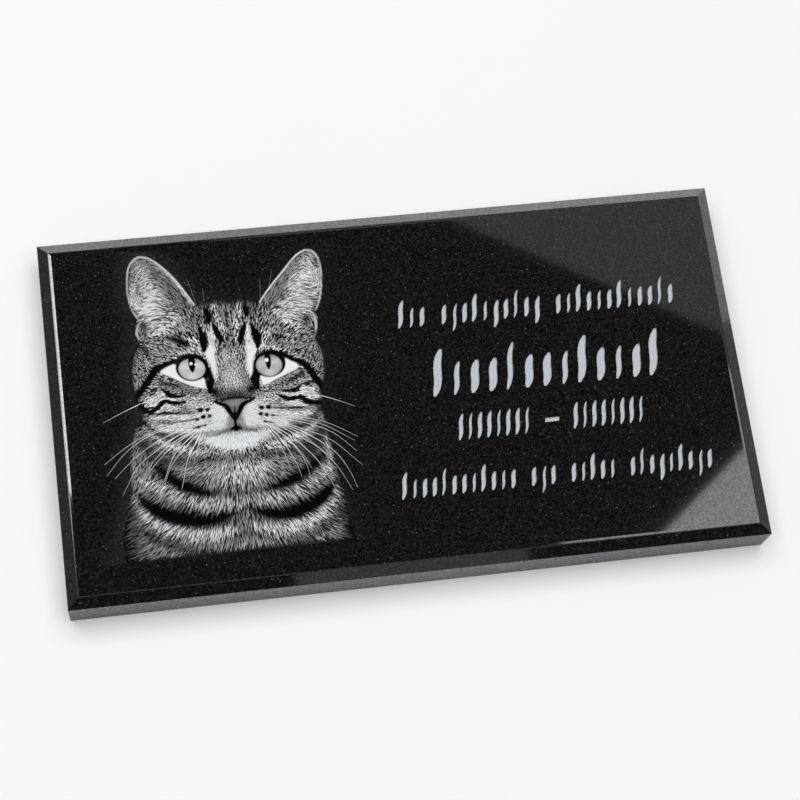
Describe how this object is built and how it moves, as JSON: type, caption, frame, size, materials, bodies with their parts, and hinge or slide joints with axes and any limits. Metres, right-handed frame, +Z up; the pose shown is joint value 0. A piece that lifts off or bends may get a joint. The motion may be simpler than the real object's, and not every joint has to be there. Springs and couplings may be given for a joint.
{
  "type": "pet grave marker",
  "caption": "Flat rectangular granite grave marker for a pet, with a bevelled polished face, an etched cat portrait and rows of engraved strokes.",
  "frame": {"origin": "centre of the underside", "axes": "+X along the length towards the rows of strokes, +Y across the width towards the top of the portrait, +Z up out of the polished face"},
  "size_m": [0.28, 0.152, 0.02],
  "materials": {
    "black_granite": "polished face and bevels, honed sides, pale frosted etching"
  },
  "bodies": {
    "root": {"granite_marker": "black_granite"}
  },
  "joints": []
}
